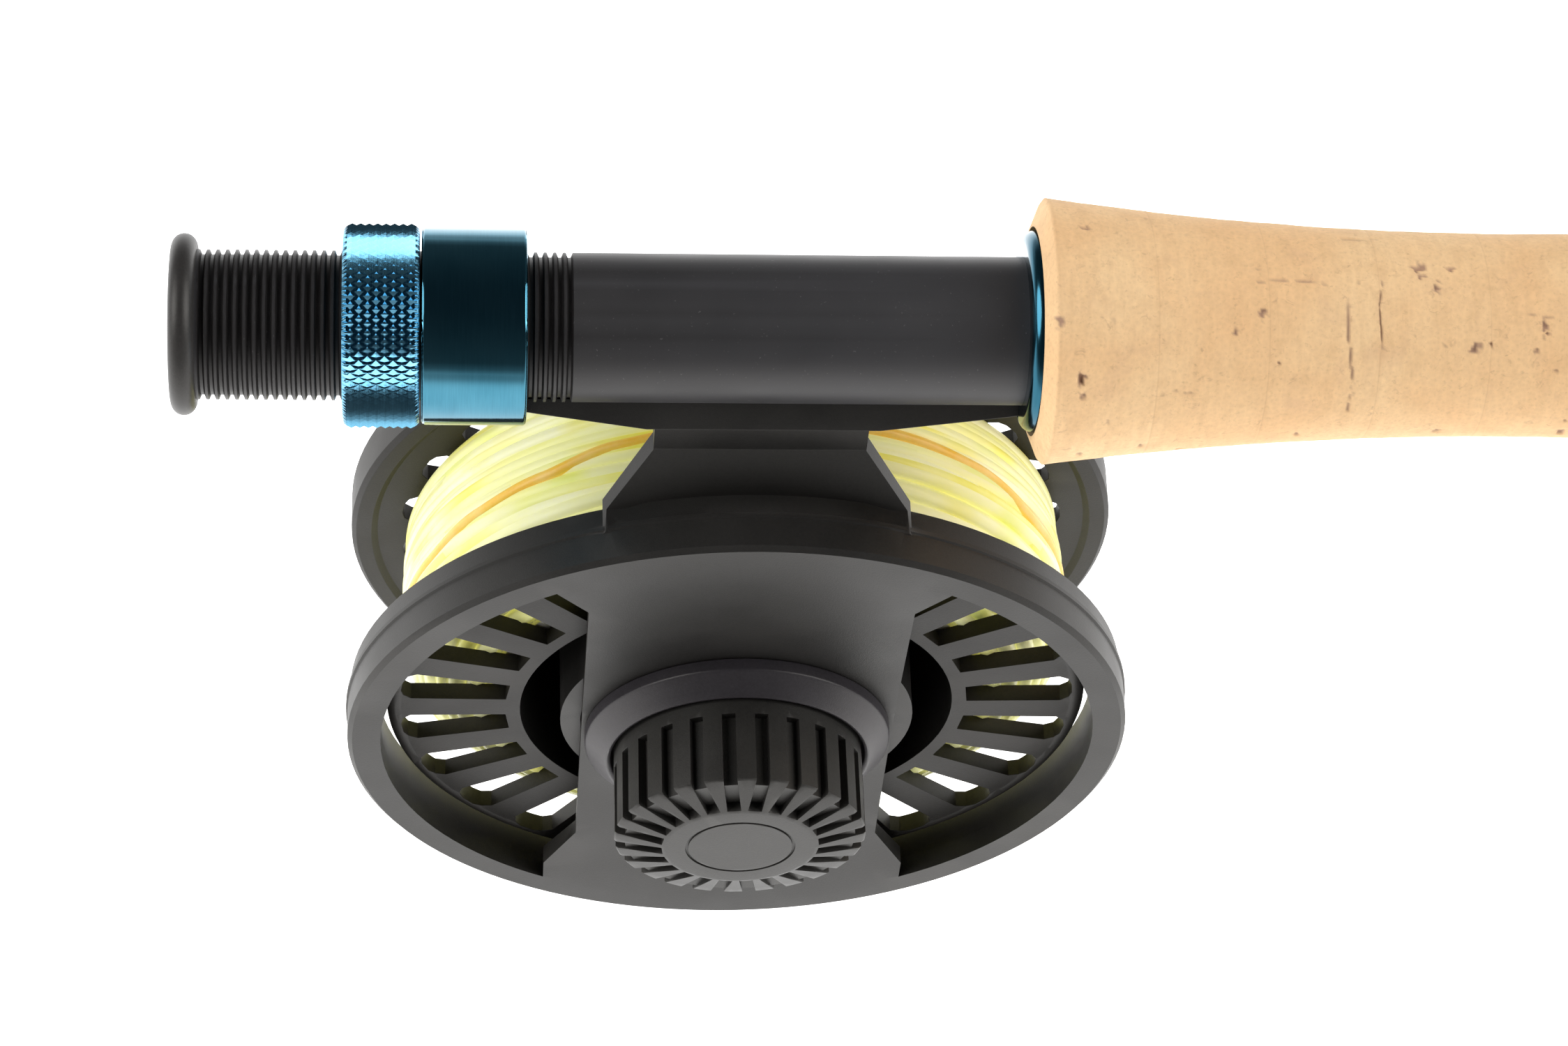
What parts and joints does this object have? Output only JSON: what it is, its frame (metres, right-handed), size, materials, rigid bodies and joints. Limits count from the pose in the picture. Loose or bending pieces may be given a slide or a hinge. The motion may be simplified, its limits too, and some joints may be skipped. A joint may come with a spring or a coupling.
{
  "type": "fly fishing rod and reel",
  "caption": "Four-piece fly rod with cork grip and line guides, and a disc-drag fly reel clamped in its up-locking reel seat.",
  "frame": {"origin": "centre of the end face of the butt cap, on the rod's axis", "axes": "+X along the rod to the tip, +Z away from the reel, which hangs towards -Z, the spool spins about Y with the drag knob on the -Y side"},
  "size_m": [2.7417, 0.0746, 0.1322],
  "materials": {
    "black_composite": "satin moulded",
    "black_anodised": "satin black anodised",
    "blue_anodised": "polished and knurled blue anodised",
    "cork": "sanded natural cork with pits",
    "cork_composite": "hidden filler",
    "bright_wire": "polished",
    "thread_binding": "varnished thread",
    "graphite_blank": "clear varnish over carbon fibre",
    "reel_casting": "matte warm black, fine grain",
    "spool_casting": "matte warm black, fine grain",
    "knob_plastic": "matte moulded",
    "dark_metal": "satin",
    "steel": "machined",
    "bronze": "sintered",
    "carbon": "woven carbon disc",
    "ceramic_insert": "polished",
    "backing_line": "braided",
    "fly_line": "coated line, pale lemon with one orange stretch"
  },
  "bodies": {
    "butt_section": {"butt_cap": "black_composite", "seat_barrel": "black_anodised", "seat_arbor": "cork_composite", "front_hood": "blue_anodised", "cork_grip": "cork", "winding_check": "blue_anodised", "hook_keeper": "bright_wire", "keeper_binding": "thread_binding", "blank_butt": "graphite_blank", "reel_frame": "reel_casting", "reel_foot": "reel_casting", "foot_screws": "steel", "drag_bezel": "dark_metal", "spindle": "steel", "spring_washers": "steel", "pressure_plate": "steel", "carbon_washers": "carbon", "drag_cover": "reel_casting", "cover_screws": "steel", "pawl_pin": "steel", "pawl_spring": "steel"},
    "hood": {"slide_hood": "blue_anodised"},
    "lock_ring": {"lock_ring": "blue_anodised"},
    "section_2": {"blank_2": "graphite_blank", "bindings_2": "thread_binding", "stripping_frames": "bright_wire", "guide_inserts": "ceramic_insert", "snake_guide_2": "bright_wire"},
    "section_3": {"blank_3": "graphite_blank", "bindings_3": "thread_binding", "snake_guides_3": "bright_wire"},
    "tip_section": {"blank_tip": "graphite_blank", "bindings_tip": "thread_binding", "snake_guides_tip": "bright_wire", "tip_top": "bright_wire"},
    "drag_knob": {"drag_knob": "knob_plastic", "drag_stem": "steel"},
    "drag_rotor": {"drag_disc": "steel", "drag_hub": "dark_metal", "one_way_clutch": "steel", "hub_bush": "bronze", "click_gear": "steel"},
    "click_pawl": {"click_pawl": "steel"},
    "spool": {"spool": "spool_casting", "counterweight": "dark_metal", "handle_post": "steel", "handle_screw": "steel", "backing": "backing_line", "fly_line": "fly_line"},
    "spool_cap": {"spool_cap": "blue_anodised"},
    "handle": {"handle_knob": "knob_plastic"}
  },
  "joints": [
    {"name": "hood_slide", "type": "slide", "parent": "butt_section", "child": "hood", "axis": [-1, 0, 0], "range_m": [0, 0.016]},
    {"name": "ring_turn", "type": "hinge", "parent": "hood", "child": "lock_ring", "pos_m": [0.02365, 0, 0], "axis": [-1, 0, 0], "range_deg": [0, 5312]},
    {"name": "section_2_pull", "type": "slide", "parent": "butt_section", "child": "section_2", "axis": [1, 0, 0], "range_m": [0, 0.06]},
    {"name": "section_3_pull", "type": "slide", "parent": "section_2", "child": "section_3", "axis": [1, 0, 0], "range_m": [0, 0.06]},
    {"name": "tip_pull", "type": "slide", "parent": "section_3", "child": "tip_section", "axis": [1, 0, 0], "range_m": [0, 0.06]},
    {"name": "drag_turn", "type": "hinge", "parent": "butt_section", "child": "drag_knob", "pos_m": [0.0674, -0.025, -0.0683], "axis": [0, -1, 0], "range_deg": [0, 300]},
    {"name": "spool_spin", "type": "hinge", "parent": "butt_section", "child": "drag_rotor", "pos_m": [0.0674, 0, -0.0683], "axis": [0, 1, 0], "continuous": true},
    {"name": "spool_pull", "type": "slide", "parent": "drag_rotor", "child": "spool", "axis": [0, 1, 0], "range_m": [0, 0.045]},
    {"name": "cap_turn", "type": "hinge", "parent": "spool", "child": "spool_cap", "pos_m": [0.0674, 0.0165, -0.0683], "axis": [0, 1, 0], "range_deg": [0, 1080]},
    {"name": "handle_spin", "type": "hinge", "parent": "spool", "child": "handle", "pos_m": [0.0674, 0.028, -0.1043], "axis": [0, 1, 0], "continuous": true},
    {"name": "pawl_rock", "type": "hinge", "parent": "butt_section", "child": "click_pawl", "pos_m": [0.07585, -0.0062, -0.08294], "axis": [0, 1, 0], "range_deg": [-12, 12], "stiffness_Nm_per_rad": 0.01}
  ],
  "couplings": [
    {"joint": "ring_turn", "follows": "hood_slide", "rad_per_m": 5791}
  ]
}
